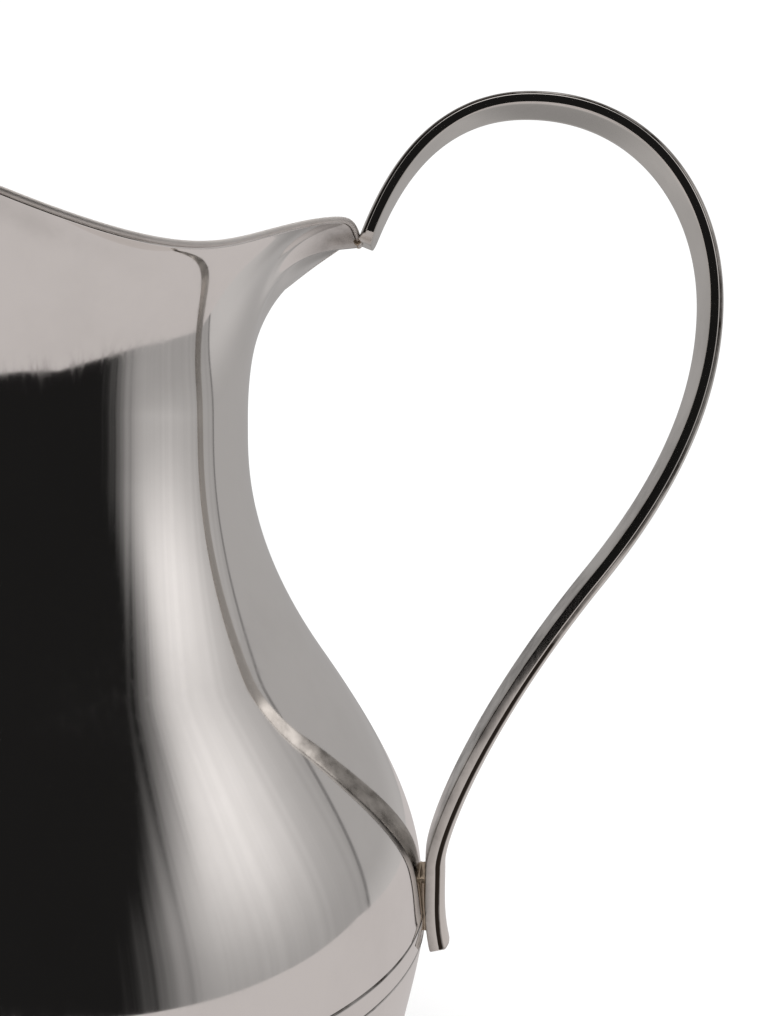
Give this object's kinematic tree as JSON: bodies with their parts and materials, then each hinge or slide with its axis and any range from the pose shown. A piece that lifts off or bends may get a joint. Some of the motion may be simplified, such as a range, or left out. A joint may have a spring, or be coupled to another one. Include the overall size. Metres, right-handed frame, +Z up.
{
  "type": "water pitcher",
  "caption": "Polished silver water pitcher: round-bellied body, narrow neck, flared mouth with a spout and a rear tail, and a heart-shaped half-round strap handle.",
  "frame": {"origin": "on the body's axis, in the plane the pitcher stands on", "axes": "+Z up along the body's axis, +X from the axis towards the handle, the spout points along -X"},
  "size_m": [0.2097, 0.147, 0.2338],
  "materials": {
    "body_silver": "mirror-polished silver with fine wipe marks",
    "lip_silver": "polished silver bead",
    "handle_silver": "polished silver with light tarnish",
    "base_silver": "satin silver, worn where it stands",
    "pad_silver": "silver with a warm brown tarnish",
    "solder": "dull silver solder, darkened by tarnish"
  },
  "bodies": {
    "root": {"upper_body": "body_silver", "lower_bowl": "body_silver", "base_disc": "base_silver", "foot_ring": "base_silver", "lip_bead": "lip_silver", "handle_strap": "handle_silver", "handle_pad": "pad_silver", "upper_solder": "solder", "lower_solder": "solder"}
  },
  "joints": []
}
